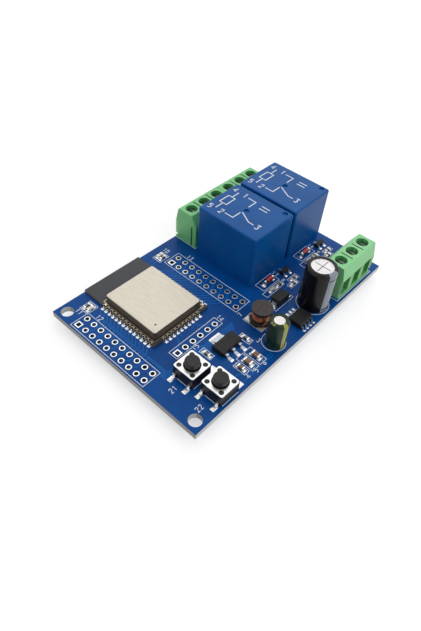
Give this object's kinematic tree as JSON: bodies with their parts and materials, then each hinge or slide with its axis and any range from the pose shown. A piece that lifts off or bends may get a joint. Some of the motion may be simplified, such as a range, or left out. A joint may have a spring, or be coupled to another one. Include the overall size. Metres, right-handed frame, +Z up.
{
  "type": "smart relay module",
  "caption": "Blue circuit board with a shielded radio module, a pair of boxed relays, screw terminal blocks, push buttons and a small power supply.",
  "frame": {"origin": "middle of the board's outline, at the level of the solder tails that the board stands on", "axes": "+Z up out of the board's component side, +Y along the board towards the relays, +X towards the supply terminals and push buttons"},
  "size_m": [0.048, 0.0734, 0.0189],
  "materials": {
    "board_laminate": "glass-fibre board with blue solder resist",
    "module_laminate": "glass-fibre board with near-black resist",
    "tinned_steel": "stamped nickel silver shield, satin",
    "black_moulding": "black moulded epoxy or plastic",
    "relay_blue": "glossy blue plastic",
    "soft_iron": "zinc-plated soft iron",
    "bobbin_plastic": "natural plastic",
    "coil_copper": "enamelled copper wire, wound",
    "contact_brass": "spring brass",
    "terminal_green": "green plastic",
    "tinned_copper": "tinned copper",
    "bright_steel": "bright stainless steel sheet",
    "dark_sleeve": "shrunk black-brown sleeve",
    "green_sleeve": "shrunk dark green sleeve",
    "can_aluminium": "drawn aluminium",
    "bung_rubber": "black rubber",
    "foil_roll": "wound foil and paper",
    "ferrite": "ground grey ferrite",
    "winding_copper": "enamelled copper wire",
    "diode_glass": "orange glass tube with tinned ends",
    "chip_black": "glazed ceramic with tinned ends",
    "chip_tan": "ceramic with tinned ends",
    "lamp_clear": "clear epoxy on a white base",
    "screw_steel": "zinc-plated steel",
    "clamp_brass": "nickel-plated brass"
  },
  "bodies": {
    "module": {"circuit_board": "board_laminate", "module_board": "module_laminate", "module_shield": "tinned_steel", "module_chips": "black_moulding", "relay_1_case": "relay_blue", "relay_2_case": "relay_blue", "relay_bases": "relay_blue", "relay_yokes": "soft_iron", "relay_cores": "soft_iron", "relay_bobbins": "bobbin_plastic", "relay_coils": "coil_copper", "relay_fixed_contacts": "contact_brass", "relay_pins": "contact_brass", "terminal_1_housing": "terminal_green", "terminal_2_housing": "terminal_green", "terminal_3_housing": "terminal_green", "terminal_pins": "tinned_copper", "button_bodies": "black_moulding", "button_covers": "bright_steel", "button_domes": "bright_steel", "button_leads": "tinned_copper", "large_capacitor_sleeve": "dark_sleeve", "small_capacitor_sleeve": "green_sleeve", "capacitor_cans": "can_aluminium", "capacitor_bungs": "bung_rubber", "capacitor_rolls": "foil_roll", "capacitor_leads": "tinned_copper", "inductor_core": "ferrite", "inductor_winding": "winding_copper", "power_chip_bodies": "black_moulding", "transistor_bodies": "black_moulding", "chip_leads": "tinned_copper", "glass_diodes": "diode_glass", "chip_resistors": "chip_black", "chip_capacitors": "chip_tan", "indicator_lamps": "lamp_clear"},
    "button_1": {"button_1_plunger": "black_moulding"},
    "button_2": {"button_2_plunger": "black_moulding"},
    "relay_1_moving": {"relay_1_armature": "soft_iron", "relay_1_contact_blade": "contact_brass"},
    "relay_2_moving": {"relay_2_armature": "soft_iron", "relay_2_contact_blade": "contact_brass"},
    "screw_1": {"terminal_screw_1": "screw_steel"},
    "clamp_1": {"terminal_clamp_1": "clamp_brass"},
    "screw_2": {"terminal_screw_2": "screw_steel"},
    "clamp_2": {"terminal_clamp_2": "clamp_brass"},
    "screw_3": {"terminal_screw_3": "screw_steel"},
    "clamp_3": {"terminal_clamp_3": "clamp_brass"},
    "screw_4": {"terminal_screw_4": "screw_steel"},
    "clamp_4": {"terminal_clamp_4": "clamp_brass"},
    "screw_5": {"terminal_screw_5": "screw_steel"},
    "clamp_5": {"terminal_clamp_5": "clamp_brass"},
    "screw_6": {"terminal_screw_6": "screw_steel"},
    "clamp_6": {"terminal_clamp_6": "clamp_brass"},
    "screw_7": {"terminal_screw_7": "screw_steel"},
    "clamp_7": {"terminal_clamp_7": "clamp_brass"},
    "screw_8": {"terminal_screw_8": "screw_steel"},
    "clamp_8": {"terminal_clamp_8": "clamp_brass"},
    "screw_9": {"terminal_screw_9": "screw_steel"},
    "clamp_9": {"terminal_clamp_9": "clamp_brass"}
  },
  "joints": [
    {"name": "button_1_press", "type": "slide", "parent": "module", "child": "button_1", "axis": [0, 0, -1], "range_m": [0, 0.00025], "stiffness_N_per_m": 4000, "springref_m": -0.0003},
    {"name": "button_2_press", "type": "slide", "parent": "module", "child": "button_2", "axis": [0, 0, -1], "range_m": [0, 0.00025], "stiffness_N_per_m": 4000, "springref_m": -0.0003},
    {"name": "relay_1_pull_in", "type": "hinge", "parent": "module", "child": "relay_1_moving", "pos_m": [0.0022, 0.01185, 0.01444], "axis": [0, -1, 0], "range_deg": [0, 2.2], "stiffness_Nm_per_rad": 0.05, "springref_deg": -2.86},
    {"name": "relay_2_pull_in", "type": "hinge", "parent": "module", "child": "relay_2_moving", "pos_m": [0.0022, 0.02815, 0.01444], "axis": [0, -1, 0], "range_deg": [0, 2.2], "stiffness_Nm_per_rad": 0.05, "springref_deg": -2.86},
    {"name": "screw_1_turn", "type": "hinge", "parent": "module", "child": "screw_1", "pos_m": [-0.02055, 0.01775, 0.0115], "axis": [0, 0, -1], "range_deg": [0, 1620]},
    {"name": "clamp_1_rise", "type": "slide", "parent": "module", "child": "clamp_1", "axis": [0, 0, 1], "range_m": [0, 0.00202]},
    {"name": "screw_2_turn", "type": "hinge", "parent": "module", "child": "screw_2", "pos_m": [-0.02055, 0.01275, 0.0115], "axis": [0, 0, -1], "range_deg": [0, 1620]},
    {"name": "clamp_2_rise", "type": "slide", "parent": "module", "child": "clamp_2", "axis": [0, 0, 1], "range_m": [0, 0.00202]},
    {"name": "screw_3_turn", "type": "hinge", "parent": "module", "child": "screw_3", "pos_m": [-0.02055, 0.00775, 0.0115], "axis": [0, 0, -1], "range_deg": [0, 1620]},
    {"name": "clamp_3_rise", "type": "slide", "parent": "module", "child": "clamp_3", "axis": [0, 0, 1], "range_m": [0, 0.00202]},
    {"name": "screw_4_turn", "type": "hinge", "parent": "module", "child": "screw_4", "pos_m": [-0.02055, 0.03285, 0.0115], "axis": [0, 0, -1], "range_deg": [0, 1620]},
    {"name": "clamp_4_rise", "type": "slide", "parent": "module", "child": "clamp_4", "axis": [0, 0, 1], "range_m": [0, 0.00202]},
    {"name": "screw_5_turn", "type": "hinge", "parent": "module", "child": "screw_5", "pos_m": [-0.02055, 0.02785, 0.0115], "axis": [0, 0, -1], "range_deg": [0, 1620]},
    {"name": "clamp_5_rise", "type": "slide", "parent": "module", "child": "clamp_5", "axis": [0, 0, 1], "range_m": [0, 0.00202]},
    {"name": "screw_6_turn", "type": "hinge", "parent": "module", "child": "screw_6", "pos_m": [-0.02055, 0.02285, 0.0115], "axis": [0, 0, -1], "range_deg": [0, 1620]},
    {"name": "clamp_6_rise", "type": "slide", "parent": "module", "child": "clamp_6", "axis": [0, 0, 1], "range_m": [0, 0.00202]},
    {"name": "screw_7_turn", "type": "hinge", "parent": "module", "child": "screw_7", "pos_m": [0.01965, 0.0198, 0.0115], "axis": [0, 0, -1], "range_deg": [0, 1620]},
    {"name": "clamp_7_rise", "type": "slide", "parent": "module", "child": "clamp_7", "axis": [0, 0, 1], "range_m": [0, 0.00202]},
    {"name": "screw_8_turn", "type": "hinge", "parent": "module", "child": "screw_8", "pos_m": [0.01965, 0.0248, 0.0115], "axis": [0, 0, -1], "range_deg": [0, 1620]},
    {"name": "clamp_8_rise", "type": "slide", "parent": "module", "child": "clamp_8", "axis": [0, 0, 1], "range_m": [0, 0.00202]},
    {"name": "screw_9_turn", "type": "hinge", "parent": "module", "child": "screw_9", "pos_m": [0.01965, 0.0298, 0.0115], "axis": [0, 0, -1], "range_deg": [0, 1620]},
    {"name": "clamp_9_rise", "type": "slide", "parent": "module", "child": "clamp_9", "axis": [0, 0, 1], "range_m": [0, 0.00202]}
  ],
  "couplings": [
    {"joint": "screw_1_turn", "follows": "clamp_1_rise", "rad_per_m": 13963},
    {"joint": "screw_2_turn", "follows": "clamp_2_rise", "rad_per_m": 13963},
    {"joint": "screw_3_turn", "follows": "clamp_3_rise", "rad_per_m": 13963},
    {"joint": "screw_4_turn", "follows": "clamp_4_rise", "rad_per_m": 13963},
    {"joint": "screw_5_turn", "follows": "clamp_5_rise", "rad_per_m": 13963},
    {"joint": "screw_6_turn", "follows": "clamp_6_rise", "rad_per_m": 13963},
    {"joint": "screw_7_turn", "follows": "clamp_7_rise", "rad_per_m": 13963},
    {"joint": "screw_8_turn", "follows": "clamp_8_rise", "rad_per_m": 13963},
    {"joint": "screw_9_turn", "follows": "clamp_9_rise", "rad_per_m": 13963}
  ]
}
